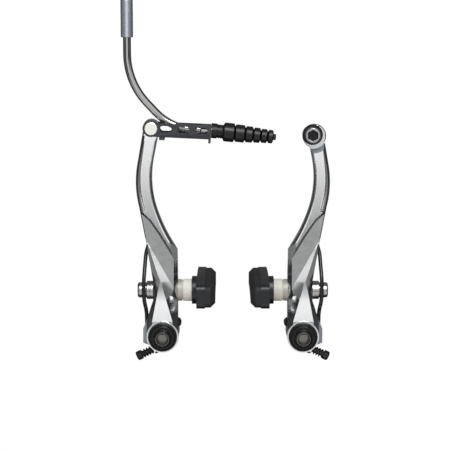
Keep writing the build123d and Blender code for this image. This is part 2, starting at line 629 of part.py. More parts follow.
def make_shoe(side):
    """Shoe post with its dished washers, nut, backing and rubber pad."""
    post_axis = Axis(side.space(0, POST_V, POST_DEPTH), (1, 0, 0))

    def dish(rim_u, rim_r, way, to_r):
        """Points of a dish from the hole out to a radius, on a ball that meets the cup's rim."""
        centre = rim_u + way * (DISH_R**2 - rim_r**2) ** 0.5
        radii = (POST_HOLE, (POST_HOLE + to_r) / 2, to_r)
        return [side.at(centre - way * (DISH_R**2 - r**2) ** 0.5, POST_V + r) for r in radii]

    def turned(*points):
        """Points of a turned piece, each given as (u, radius)."""
        return [side.at(u, POST_V + radius) for u, radius in points]

    cup_rim = INNER_U + INNER_CUP
    spacer_u = cup_rim + DISH_GROOVE
    shoe_u = spacer_u + SPACER
    outer_rim = WAIST_U - OUTER_CUP
    nut_u = outer_rim - OUTER_DOME
    nut_end = nut_u - NUT_LENGTH
    dome_r = INNER_CUP_R - DISH_GROOVE
    inner_dish = dish(cup_rim, INNER_CUP_R, 1, INNER_CUP_R)
    inner_dome = dish(cup_rim, INNER_CUP_R, 1, dome_r)
    outer_dish = dish(outer_rim, OUTER_WASHER_R, -1, OUTER_WASHER_R)
    body = ((spacer_u, dome_r), (spacer_u, SPACER_R), (shoe_u, SPACER_R), (shoe_u, POST_HOLE))
    washers = {
        "inner_cup_washer": (inner_dish, turned((INNER_U, INNER_CUP_R), (INNER_U, POST_HOLE))),
        "shoe_spacer": (inner_dome, turned(*body)),
        "outer_cup_washer": (outer_dish, turned((WAIST_U, OUTER_WASHER_R), (WAIST_U, POST_HOLE))),
        "outer_dome_washer": (outer_dish, turned((nut_u, OUTER_WASHER_R), (nut_u, POST_HOLE))),
    }
    for name, (curve, rest) in washers.items():
        with BuildPart() as washer:
            with BuildSketch(front(POST_DEPTH)):
                with BuildLine():
                    ThreePointArc(*curve)
                    Polyline(curve[-1], *rest, curve[0])
                make_face()
            revolve(axis=post_axis)
        save(washer, f"{side.name}_{name}")

    with BuildPart() as nut:
        with BuildSketch(side.across(nut_u)):
            Circle(NUT_R)
        extrude(amount=-NUT_LENGTH)
        fillet(side.outer_face(nut).edges(), NUT_LENGTH / 4)
        with BuildSketch(side.across(nut_end)):
            RegularPolygon(HEX_ACROSS / 2, 6, major_radius=False)
        extrude(amount=NUT_HEX, mode=Mode.SUBTRACT)
        with BuildSketch(side.across(nut_u)):
            Circle(POST_HOLE)
        extrude(amount=-NUT_LENGTH, mode=Mode.SUBTRACT)
    save(nut, f"{side.name}_shoe_nut")

    post_end = shoe_u + PAD_BOSS + POST_SUNK
    with BuildPart() as post:
        with BuildSketch(side.across(nut_end + NUT_HEX)):
            Circle(POST_R)
        extrude(amount=post_end - nut_end - NUT_HEX)
    save(post, f"{side.name}_shoe_post")

    def pad_outline(half):
        """Pad seen from the rim: two arcs that follow the rim, closed at both ends."""
        places = (-PAD_FRONT, (PAD_REAR - PAD_FRONT) / 2, PAD_REAR)
        drops = [PAD_ARC_R - (PAD_ARC_R**2 - place**2) ** 0.5 for place in places]
        low = [(side.inward * place, -half - drop) for place, drop in zip(places, drops)]
        high = [(side.inward * place, half - drop) for place, drop in zip(places, drops)]
        ThreePointArc(*low)
        ThreePointArc(*high)
        Line(low[0], high[0])
        Line(low[-1], high[-1])

    with BuildPart() as backing:
        with BuildSketch(side.across(shoe_u)):
            Circle(PAD_BOSS_R)
        extrude(amount=PAD_BOSS)
        with BuildSketch(side.across(shoe_u + PAD_BOSS, PAD_RISE)) as outline:
            with BuildLine():
                pad_outline(PAD_HEIGHT / 2 + PAD_LIP)
            make_face()
            fillet(outline.vertices(), PAD_CORNER)
        extrude(amount=PAD_BACK)
        with BuildSketch(side.across(post_end)):
            Circle(POST_HOLE)
        extrude(amount=-PAD_BOSS - PAD_BACK, mode=Mode.SUBTRACT)
    save(backing, f"{side.name}_pad_backing")

    rubber_u = shoe_u + PAD_BOSS + PAD_BACK
    with BuildPart() as pad:
        with BuildSketch(side.across(rubber_u, PAD_RISE)) as outline:
            with BuildLine():
                pad_outline(PAD_HEIGHT / 2)
            make_face()
            fillet(outline.vertices(), PAD_CORNER)
        extrude(amount=PAD_RUBBER)
        rim_face = pad.faces().sort_by(Axis.X)[-1 if side is LEFT else 0]
        chamfer(rim_face.edges().sort_by(Axis.Z)[-1], PAD_EDGE)
        count = int((PAD_FRONT + PAD_REAR) / GROOVE_PITCH)
        with BuildSketch(side.across(rubber_u + PAD_RUBBER, PAD_RISE)):
            for index in range(1, count):
                with Locations((side.inward * (index * GROOVE_PITCH - PAD_FRONT), 0)):
                    Rectangle(GROOVE, 2 * PAD_HEIGHT, rotation=side.inward * GROOVE_ANGLE)
        extrude(amount=-GROOVE_DEPTH, mode=Mode.SUBTRACT)
    save(pad, f"{side.name}_brake_pad")


def make_link():
    """Stamped cable link on the left arm's head, and the pin that it swings on."""
    link_plane = tilted(*LINK_PIN, LINK_MID, LINK_TILT)
    half_room, half_width = LINK_ROOM / 2, LINK_ROOM / 2 + LINK_SHEET

    with BuildPart() as link:
        for start in (half_room, -half_width):
            with BuildSketch(link_plane.offset(start)):
                Circle(LINK_HEAD_R)
                with Locations((LINK_LENGTH / 2, -LINK_DROP)):
                    Rectangle(LINK_LENGTH, LINK_HEIGHT)
                for index in range(LINK_SLOTS):
                    with Locations((LINK_SLOT_FIRST + index * LINK_SLOT_PITCH, 0)):
                        SlotOverall(*LINK_SLOT, mode=Mode.SUBTRACT)
                Circle(PIN_R + SEAT, mode=Mode.SUBTRACT)
            extrude(amount=LINK_SHEET)
        with BuildSketch(link_plane.offset(-half_width)):
            with Locations((LINK_LENGTH - LINK_SHEET / 2, -LINK_DROP - LINK_TAB / 2)):
                Rectangle(LINK_SHEET, LINK_HEIGHT + LINK_TAB)
            with Locations((STUB_START + STUB_LENGTH / 2, -LINK_DROP - (LINK_HEIGHT + STUB_DROP) / 2)):
                Rectangle(STUB_LENGTH, STUB_DROP)
        extrude(amount=2 * half_width)
        nose_plane = Plane(origin=link_plane.origin, x_dir=(0, -1, 0), z_dir=link_plane.x_dir)
        with BuildSketch(nose_plane.offset(LINK_LENGTH)):
            Circle(NOSE_TIP_R + FIT)
            with Locations((0, LINK_HEIGHT / 2)):
                Rectangle(KEYHOLE, LINK_HEIGHT)
        extrude(amount=-LINK_SHEET, mode=Mode.SUBTRACT)
    save(link, "link_bracket")

    with BuildPart() as pin:
        with BuildSketch(link_plane.offset(-half_width)):
            Circle(PIN_R)
        extrude(amount=2 * half_width)
        for start, amount in ((half_width, PIN_HEAD), (-half_width, -PIN_HEAD)):
            with BuildSketch(link_plane.offset(start)):
                Circle(PIN_HEAD_R)
            extrude(amount=amount)
        for index in (0, -1):
            chamfer(pin.faces().sort_by(Axis.Y)[index].edges(), PIN_HEAD / 3)
    save(pin, "link_pin")


def make_noodle():
    """Bent guide tube, the socket for the cable housing and the nose that sits in the link."""
    pin_u, pin_v = LINK_PIN

    def on_link(length):
        """Place on the link's centre line, counted from its pin."""
        turn = radians(LINK_TILT)
        return (pin_u + length * cos(turn), pin_v + length * sin(turn))

    nose_start = LINK_LENGTH - LINK_SHEET - SEAT - NOSE_LENGTH
    floor_v = SOCKET_TOP - SOCKET_DEPTH
    corner_u, corner_v = on_link(nose_start - NOSE_RUN)
    bend_v = corner_v + (corner_u - TUBE_RUN_U) * tan(radians(TUBE_SLOPE))
    route = ((TUBE_RUN_U, floor_v), (TUBE_RUN_U, bend_v), (corner_u, corner_v), on_link(nose_start))

    with BuildPart() as tube:
        with BuildLine():
            bend = FilletPolyline(*[LEFT.space(*p, LINK_MID) for p in route], radius=TUBE_BENDS)
        with BuildSketch(Plane(origin=bend @ 0, z_dir=bend % 0)):
            Circle(TUBE_R)
            Circle(TUBE_BORE_R, mode=Mode.SUBTRACT)
        sweep(path=bend)
    save(tube, "noodle_tube")

    socket_mouth = LEFT.space(TUBE_RUN_U, SOCKET_TOP, LINK_MID)
    socket_plane = Plane(origin=socket_mouth, x_dir=(1, 0, 0), z_dir=(0, 0, 1))
    with BuildPart() as socket:
        with BuildSketch(socket_plane):
            Circle(SOCKET_R)
        extrude(amount=-SOCKET_LENGTH)
        fillet(socket.faces().sort_by(Axis.Z)[0].edges(), (SOCKET_R - TUBE_R) / 2)
        fillet(socket.faces().sort_by(Axis.Z)[-1].edges(), (SOCKET_R - SOCKET_BORE_R) / 2)
        with BuildSketch(socket_plane):
            Circle(SOCKET_BORE_R)
        extrude(amount=-SOCKET_DEPTH, mode=Mode.SUBTRACT)
        with BuildSketch(socket_plane):
            Circle(TUBE_R + SEAT)
        extrude(amount=-SOCKET_LENGTH, mode=Mode.SUBTRACT)
    save(socket, "noodle_socket")

    nose_plane = tilted(*on_link(nose_start), LINK_MID, LINK_TILT)
    nose_base = Plane(origin=nose_plane.origin, x_dir=(0, -1, 0), z_dir=nose_plane.x_dir)
    with BuildPart() as nose:
        with BuildSketch(nose_base):
            Circle(NOSE_R)
        extrude(amount=NOSE_LENGTH)
        chamfer(nose.faces().sort_by(Axis.X)[0].edges(), (NOSE_R - TUBE_R) / 2)
        with BuildSketch(nose_base):
            Circle(NOSE_TIP_R)
        extrude(amount=NOSE_LENGTH + SEAT + LINK_SHEET + NOSE_TIP)
        chamfer(nose.faces().sort_by(Axis.X)[-1].edges(), (NOSE_TIP_R - TUBE_BORE_R) / 2)
        with BuildSketch(nose_base):
            Circle(TUBE_BORE_R)
        extrude(amount=LINK_LENGTH, mode=Mode.SUBTRACT)
    save(nose, "noodle_nose")

    boot_plane = tilted(*on_link(LINK_LENGTH + GAP), LINK_MID, BOOT_TILT)
    boot_axis = Axis(boot_plane.origin, boot_plane.x_dir)
    with BuildPart() as boot:
        with BuildSketch(boot_plane):
            with BuildLine():
                outer = [(0, BOOT_COLLAR_R), (BOOT_COLLAR, BOOT_COLLAR_R)]
                outer += [(BOOT_COLLAR, BOOT_NECK_R), (BOOT_NECK - BOOT_ROUND, BOOT_NECK_R)]
                place = BOOT_NECK
                for radius, length in zip(BOOT_RING_R, BOOT_RING_LENGTH):
                    low, end = radius - BOOT_FOLD, place + length
                    outer += [(place, low), (place + BOOT_ROUND, radius)]
                    outer += [(end - BOOT_ROUND, radius), (end, low)]
                    place = end
                tip = place + BOOT_TIP
                inside = [(tip, BOOT_TIP_R), (tip, CABLE_R + FIT), (place, CABLE_R + FIT)]
                neck = [(place, low - BOOT_WALL), (BOOT_NECK, BOOT_MOUTH_R), (0, BOOT_MOUTH_R)]
                Polyline(*outer, (place, BOOT_TIP_R), *inside, *neck, close=True)
            make_face()
        revolve(axis=boot_axis)
    save(boot, "boot")


def make_cable_clamp():
    """Clamp washer and bolt that hold the cable on the right arm's head."""
    place = Locations(RIGHT.at(*CLAMP))
    washer_face = CLAMP_FLOOR + CLAMP_WASHER

    with BuildPart() as washer:
        with BuildSketch(front(CLAMP_FLOOR)):
            with place:
                Circle(CLAMP_WASHER_R)
                Circle(BOLT_R + SEAT, mode=Mode.SUBTRACT)
        extrude(amount=CLAMP_WASHER)
        chamfer(washer.faces().sort_by(Axis.Y)[0].outer_wire().edges(), CLAMP_WASHER / 4)
        groove = RIGHT.space(CLAMP[0], CLAMP[1] + BOLT_R + CABLE_R + SEAT, CLAMP_FLOOR)
        with BuildSketch(Plane(origin=groove, x_dir=(0, -1, 0), z_dir=(1, 0, 0))):
            Circle(CABLE_R)
        extrude(amount=2 * CLAMP_WASHER_R, both=True, mode=Mode.SUBTRACT)
    save(washer, "cable_clamp_washer")

    with BuildPart() as bolt:
        with BuildSketch(front(washer_face - CLAMP_BOLT_REACH)):
            with place:
                Circle(BOLT_R)
        extrude(amount=CLAMP_BOLT_REACH)
        with BuildSketch(front(washer_face)):
            with place:
                Circle(CLAMP_BOLT_HEAD_R)
        extrude(amount=CLAMP_BOLT_HEAD)
        chamfer(bolt.faces().sort_by(Axis.Y)[0].outer_wire().edges(), CLAMP_BOLT_HEAD / 8)
        with BuildSketch(front(washer_face + CLAMP_BOLT_HEAD)):
            with place:
                RegularPolygon(HEX_ACROSS / 2, 6, major_radius=False, rotation=30)
        extrude(amount=-HEX_DEPTH, mode=Mode.SUBTRACT)
    save(bolt, "cable_clamp_bolt")


for arm_side in (LEFT, RIGHT):
    make_pivot(arm_side)
    make_spring(arm_side)
    make_arm(arm_side)
    make_tension_screw(arm_side)
    make_shoe(arm_side)
make_link()
make_noodle()
make_cable_clamp()
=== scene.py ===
"""Dresses the v brake: finishes, softened edges, and the small pieces that are made only here."""

import logging
from dataclasses import dataclass, replace
from enum import Enum
from math import cos, pi, radians, sin

import bmesh
import bpy
from mathutils import Matrix, Vector
from mathutils.geometry import intersect_point_line


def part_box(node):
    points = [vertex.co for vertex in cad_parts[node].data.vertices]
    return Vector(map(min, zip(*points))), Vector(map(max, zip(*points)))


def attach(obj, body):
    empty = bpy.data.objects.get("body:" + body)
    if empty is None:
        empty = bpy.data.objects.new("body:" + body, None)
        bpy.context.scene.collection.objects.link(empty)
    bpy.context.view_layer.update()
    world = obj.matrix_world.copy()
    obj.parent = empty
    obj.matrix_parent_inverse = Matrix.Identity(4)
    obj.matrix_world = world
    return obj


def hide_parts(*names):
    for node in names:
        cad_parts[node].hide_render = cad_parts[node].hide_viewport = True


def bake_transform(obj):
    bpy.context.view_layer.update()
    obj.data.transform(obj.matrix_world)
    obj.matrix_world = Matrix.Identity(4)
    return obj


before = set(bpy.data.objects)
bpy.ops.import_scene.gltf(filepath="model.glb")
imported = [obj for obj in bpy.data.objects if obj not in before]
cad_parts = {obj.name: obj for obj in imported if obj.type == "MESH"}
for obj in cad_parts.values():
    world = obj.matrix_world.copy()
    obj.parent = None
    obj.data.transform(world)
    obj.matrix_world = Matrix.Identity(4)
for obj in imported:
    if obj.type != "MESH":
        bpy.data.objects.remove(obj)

log = logging.getLogger("v_brake")

MM = 0.001
AHEAD = 0.999  # least share of a normal that points to the front, on a face that looks straight ahead
DRIFT_CELLS = 20  # cells of a skin's relief across one drift of its colour
MARK_CELLS = 12  # cells of a skin's relief across one handling mark
HEXAGON = 6  # corners of a key socket

Color = tuple[float, float, float]
Point = tuple[float, float, float]
Profile = list[tuple[float, float]]
Glow = tuple[tuple[float, float], ...]


class Side(Enum):
    """The two arms, as seen from the front."""

    LEFT = "left"
    RIGHT = "right"

    @property
    def inward(self) -> int:
        """Direction along X from the pivot towards the rim."""
        return 1 if self is Side.LEFT else -1

    @property
    def arm(self) -> str:
        """Name of the body that swings with this arm."""
        return f"{self.value}_arm"

    def node(self, piece: str) -> str:
        """Name of one of this side's pieces."""
        return f"{self.value}_{piece}"


class Edge(Enum):
    """How far the edges of a piece are broken, in metres."""

    FORGED = 0.0002
    MACHINED = 0.00018
    STAMPED = 0.00022
    MOULDED = 0.0004


class Effects:
    """Shader node groups that several finishes share, each built once.

    Attributes:
        SPREAD: Values between which most of a noise lies.
        RAISED: Pointiness where an edge begins to wear, and where it is worn most.
    """

    SPREAD = (0.3, 0.7)
    RAISED = (0.53, 0.62)

    @staticmethod
    def _new(
        name: str, inputs: dict[str, float | Color], output: str, kind: str = "NodeSocketFloat"
    ) -> bpy.types.ShaderNodeTree:
        """Start a group with its sockets.

        Args:
            name: Name of the group.
            inputs: Socket names with their default values; a triple makes a colour socket.
            output: Name of the only output.
            kind: Socket type of the output.

        Returns:
            The empty group, with its input and output nodes.
        """
        tree = bpy.data.node_groups.new(name, "ShaderNodeTree")
        for label, value in inputs.items():
            is_color = isinstance(value, tuple)
            socket = tree.interface.new_socket(
                label, in_out="INPUT", socket_type="NodeSocketColor" if is_color else "NodeSocketFloat"
            )
            socket.default_value = (*value, 1.0) if is_color else value
        tree.interface.new_socket(output, in_out="OUTPUT", socket_type=kind)
        tree.nodes.new("NodeGroupInput").name = "in"
        tree.nodes.new("NodeGroupOutput").name = "out"
        return tree

    @staticmethod
    def _noise(tree: bpy.types.ShaderNodeTree, detail: float) -> bpy.types.ShaderNode:
        """Add a noise on Object coordinates that takes the group's Scale input.

        Args:
            tree: Group to add it to.
            detail: Octaves of the noise.

        Returns:
            The noise node.
        """
        place = tree.nodes.new("ShaderNodeTexCoord")
        noise = tree.nodes.new("ShaderNodeTexNoise")
        noise.inputs["Detail"].default_value = detail
        tree.links.new(place.outputs["Object"], noise.inputs["Vector"])
        tree.links.new(tree.nodes["in"].outputs["Scale"], noise.inputs["Scale"])
        return noise

    @staticmethod
    def span(tree: bpy.types.ShaderNodeTree, limits: tuple[float, float]) -> bpy.types.ShaderNode:
        """Add a node that maps the values between two limits, to 0 and 1 unless it is told otherwise.

        Args:
            tree: Nodes to add it to.
            limits: The lower and the upper limit.

        Returns:
            The mapping node.
        """
        node = tree.nodes.new("ShaderNodeMapRange")
        node.inputs["From Min"].default_value, node.inputs["From Max"].default_value = limits
        return node

    @staticmethod
    def _product(
        tree: bpy.types.ShaderNodeTree, first: bpy.types.NodeSocket, second: bpy.types.NodeSocket
    ) -> bpy.types.NodeSocket:
        """Multiply two values.

        Args:
            tree: Nodes to add the product to.
            first: One value.
            second: The other.

        Returns:
            The socket that gives the product.
        """
        node = tree.nodes.new("ShaderNodeMath")
        node.operation = "MULTIPLY"
        tree.links.new(first, node.inputs[0])
        tree.links.new(second, node.inputs[1])
        return node.outputs["Value"]

    @classmethod
    def grain(cls) -> bpy.types.ShaderNodeTree:
        """Fine relief of a blasted, moulded or painted skin.

        Returns:
            The group, with a Height out.
        """
        tree = bpy.data.node_groups.get("surface_grain")
        if tree is None:
            tree = cls._new("surface_grain", {"Scale": 2000.0}, "Height")
            noise = cls._noise(tree, detail=3.0)
            tree.links.new(noise.outputs["Fac"], tree.nodes["out"].inputs["Height"])
        return tree

    @classmethod
    def handling(cls) -> bpy.types.ShaderNodeTree:
        """Roughness that wanders between two values, as on a handled part.

        Returns:
            The group, with a Roughness out.
        """
        tree = bpy.data.node_groups.get("handling_marks")
        if tree is None:
            inputs = {"Scale": 120.0, "Smooth": 0.2, "Dull": 0.4}
            tree = cls._new("handling_marks", inputs, "Roughness")
            noise = cls._noise(tree, detail=5.0)
            span = cls.span(tree, cls.SPREAD)
            tree.links.new(noise.outputs["Fac"], span.inputs["Value"])
            tree.links.new(tree.nodes["in"].outputs["Smooth"], span.inputs["To Min"])
            tree.links.new(tree.nodes["in"].outputs["Dull"], span.inputs["To Max"])
            tree.links.new(span.outputs["Result"], tree.nodes["out"].inputs["Roughness"])
        return tree

    @classmethod
    def mottle(cls) -> bpy.types.ShaderNodeTree:
        """Slight drift of a colour over the surface.

        Returns:
            The group, with a Color out.
        """
        tree = bpy.data.node_groups.get("colour_drift")
        if tree is None:
            inputs = {"Scale": 90.0, "Light": (0.8, 0.8, 0.8), "Dark": (0.6, 0.6, 0.6)}
            tree = cls._new("colour_drift", inputs, "Color", "NodeSocketColor")
            noise = cls._noise(tree, detail=4.0)
            mix = tree.nodes.new("ShaderNodeMix")
            mix.data_type = "RGBA"
            tree.links.new(noise.outputs["Fac"], mix.inputs["Factor"])
            tree.links.new(tree.nodes["in"].outputs["Light"], mix.inputs["A"])
            tree.links.new(tree.nodes["in"].outputs["Dark"], mix.inputs["B"])
            tree.links.new(mix.outputs["Result"], tree.nodes["out"].inputs["Color"])
        return tree

    @classmethod
    def wear(cls) -> bpy.types.ShaderNodeTree:
        """Mask of the raised edges where a coat rubs through, broken up by noise.

        Returns:
            The group, with a Mask out.
        """
        tree = bpy.data.node_groups.get("edge_wear")
        if tree is None:
            tree = cls._new("edge_wear", {"Scale": 700.0, "Amount": 0.5}, "Mask")
            noise = cls._noise(tree, detail=4.0)
            shape = tree.nodes.new("ShaderNodeNewGeometry")
            raised = cls.span(tree, cls.RAISED)
            tree.links.new(shape.outputs["Pointiness"], raised.inputs["Value"])
            broken = cls._product(tree, raised.outputs["Result"], noise.outputs["Fac"])
            mask = cls._product(tree, broken, tree.nodes["in"].outputs["Amount"])
            tree.links.new(mask, tree.nodes["out"].inputs["Mask"])
        return tree


@dataclass(frozen=True)
class Finish:
    """A surface finish, and the slot of the record that it stands for.

    Attributes:
        name: Name of the material.
        slot: Slot of the record.
        color: Mean colour, linear.
        metallic: 1 for bare metal, 0 for paint, plastic and rubber.
        smooth: Lowest roughness.
        dull: Highest roughness.
        drift: Share by which the colour wanders.
        grain: Cells of the skin's relief in a metre.
        relief: Height of that relief in metres.
        wear: How much of the edges is rubbed bare.
        bare: Colour under the coat.
        gloss: Specular level of a coat that isn't metal.
    """

    name: str
    slot: str
    color: Color
    metallic: float = 0.0
    smooth: float = 0.25
    dull: float = 0.4
    drift: float = 0.06
    grain: float = 2200.0
    relief: float = 1e-5
    wear: float = 0.0
    bare: Color = (0.6, 0.6, 0.6)
    gloss: float = 0.5

    def shade(self, share: float) -> Color:
        """The colour made lighter or darker by a share."""
        return tuple(min(1.0, channel * (1 + share)) for channel in self.color)

    def material(self) -> bpy.types.Material:
        """The finish as a material, built the first time it is asked for.

        Returns:
            The material.
        """
        material = bpy.data.materials.get(self.name)
        if material is None:
            material = bpy.data.materials.new(self.name)
            material.use_nodes = True
            self._wire(material.node_tree)
        return material

    @staticmethod
    def _group(
        tree: bpy.types.ShaderNodeTree, effect: bpy.types.ShaderNodeTree, **values: float | Color
    ) -> bpy.types.ShaderNode:
        """Place a shared effect in a material with values of its own.

        Args:
            tree: The material's nodes.
            effect: The shared group.
            values: Values of the group's inputs.

        Returns:
            The group node.
        """
        node = tree.nodes.new("ShaderNodeGroup")
        node.node_tree = effect
        for label, value in values.items():
            node.inputs[label].default_value = (*value, 1.0) if isinstance(value, tuple) else value
        return node

    def _wire(self, tree: bpy.types.ShaderNodeTree) -> None:
        """Join the shared effects to the shader.

        Args:
            tree: The material's nodes.
        """
        shader = tree.nodes["Principled BSDF"]
        shader.inputs["Metallic"].default_value = self.metallic
        shader.inputs["Specular IOR Level"].default_value = self.gloss
        light, dark = self.shade(self.drift), self.shade(-self.drift)
        drift = self._group(tree, Effects.mottle(), Scale=self.grain / DRIFT_CELLS, Light=light, Dark=dark)
        color = drift.outputs["Color"]
        if self.wear > 0:
            wear = self._group(tree, Effects.wear(), Amount=self.wear)
            rubbed = tree.nodes.new("ShaderNodeMix")
            rubbed.data_type = "RGBA"
            rubbed.inputs["B"].default_value = (*self.bare, 1.0)
            tree.links.new(wear.outputs["Mask"], rubbed.inputs["Factor"])
            tree.links.new(color, rubbed.inputs["A"])
            color = rubbed.outputs["Result"]
            tree.links.new(wear.outputs["Mask"], shader.inputs["Metallic"])
        tree.links.new(color, shader.inputs["Base Color"])
        scale = self.grain / MARK_CELLS
        marks = self._group(tree, Effects.handling(), Scale=scale, Smooth=self.smooth, Dull=self.dull)
        tree.links.new(marks.outputs["Roughness"], shader.inputs["Roughness"])
        skin = self._group(tree, Effects.grain(), Scale=self.grain)
        bump = tree.nodes.new("ShaderNodeBump")
        bump.inputs["Distance"].default_value = self.relief
        tree.links.new(skin.outputs["Height"], bump.inputs["Height"])
        tree.links.new(bump.outputs["Normal"], shader.inputs["Normal"])


FORGED_SILVER = Finish(
    "forged_silver", "forged_aluminium", (0.93, 0.94, 0.95), metallic=1.0, smooth=0.15, dull=0.18,
    drift=0.02, grain=4500.0, relief=4e-7,
)
# Darker copy of the forged silver on the logo facet: painted shade, with a rougher satin surface.
FACET_SATIN_SHADE = replace(
    FORGED_SILVER, name="facet_satin_shade", color=(0.5, 0.505, 0.51), smooth=0.24, dull=0.28, relief=8e-7
)
# Less dark copy on the floor of the clamp's head round the washer: painted shade.
HEAD_SATIN_SHADE = replace(FACET_SATIN_SHADE, name="head_satin_shade", color=(0.7, 0.71, 0.72))
STEP_SHADE = replace(
    FORGED_SILVER, name="step_shade", color=(0.22, 0.225, 0.23), smooth=0.26, dull=0.3, relief=6e-7
)
# Dark blue-grey copy on the ear's front behind the hub and on the slope below the clamp's head: painted
# shade in those recesses.
RECESS_PAINTED_SHADE = replace(
    FACET_SATIN_SHADE, name="recess_painted_shade", color=(0.2, 0.215, 0.24), metallic=0.2, smooth=0.42, dull=0.52,
    drift=0.03,
)
ZINC_PLATE = Finish(
    "zinc_plate", "zinc_steel", (0.42, 0.41, 0.40), metallic=1.0, smooth=0.24, dull=0.3, drift=0.03,
    relief=4e-7,
)
KEY_STEEL = replace(ZINC_PLATE, name="key_steel", color=(0.24, 0.232, 0.215), smooth=0.26, dull=0.34)
CUP_GREY = Finish(
    "cup_grey", "zinc_steel", (0.36, 0.35, 0.315), metallic=0.2, smooth=0.4, dull=0.5, drift=0.03, gloss=0.4
)
BRIGHT_STEEL = Finish(
    "polished_steel", "bright_steel", (0.44, 0.435, 0.425), metallic=1.0, smooth=0.05, dull=0.08, drift=0.03,
    relief=3e-7,
)
CLAMP_STEEL = replace(BRIGHT_STEEL, name="clamp_steel", color=(0.36, 0.36, 0.39), smooth=0.36, dull=0.42)
SATIN_NICKEL = Finish(
    "pale_nickel", "satin_nickel", (0.97, 0.95, 0.9), metallic=1.0, smooth=0.34, dull=0.36, drift=0.005,
    relief=5e-8,
)
FERRULE_GREY = Finish(
    "ferrule_grey", "grey_ferrule", (0.56, 0.59, 0.65), metallic=0.9, smooth=0.24, dull=0.3, drift=0.02
)
BLACK_STEEL = Finish(
    "blacked_steel", "black_steel", (0.006, 0.006, 0.007), smooth=0.26, dull=0.36, gloss=0.3, wear=0.2,
    bare=(0.3, 0.3, 0.31),
)
SPRING_BLACK = Finish(
    "spring_black", "black_steel", (0.007, 0.007, 0.008), smooth=0.25, dull=0.36, gloss=0.4
)
CAP_BLACK = Finish(
    "cap_black", "black_plastic", (0.006, 0.006, 0.007), smooth=0.36, dull=0.46, gloss=0.25, relief=3e-6
)
SHOE_BLACK = Finish(
    "shoe_black", "black_moulding", (0.009, 0.01, 0.012), smooth=0.3, dull=0.4, gloss=0.4, relief=4e-6,
    grain=1500.0,
)
PAD_BLACK = Finish(
    "pad_black", "pad_rubber", (0.015, 0.0155, 0.017), smooth=0.5, dull=0.66, gloss=0.25, relief=8e-6,
    grain=1200.0,
)
BOOT_BLACK = Finish(
    "boot_black", "boot_rubber", (0.005, 0.005, 0.006), smooth=0.32, dull=0.42, gloss=0.35, relief=2e-6,
    grain=1500.0,
)
SPACER_CREAM = Finish(
    "spacer_cream", "pale_spacer", (0.58, 0.56, 0.51), smooth=0.4, dull=0.55, drift=0.03, gloss=0.3
)
LINK_SLATE = Finish(
    "link_slate", "slate_link", (0.014, 0.016, 0.021), smooth=0.3, dull=0.4, gloss=0.28, wear=0.5,
    bare=(0.5, 0.51, 0.53),
)


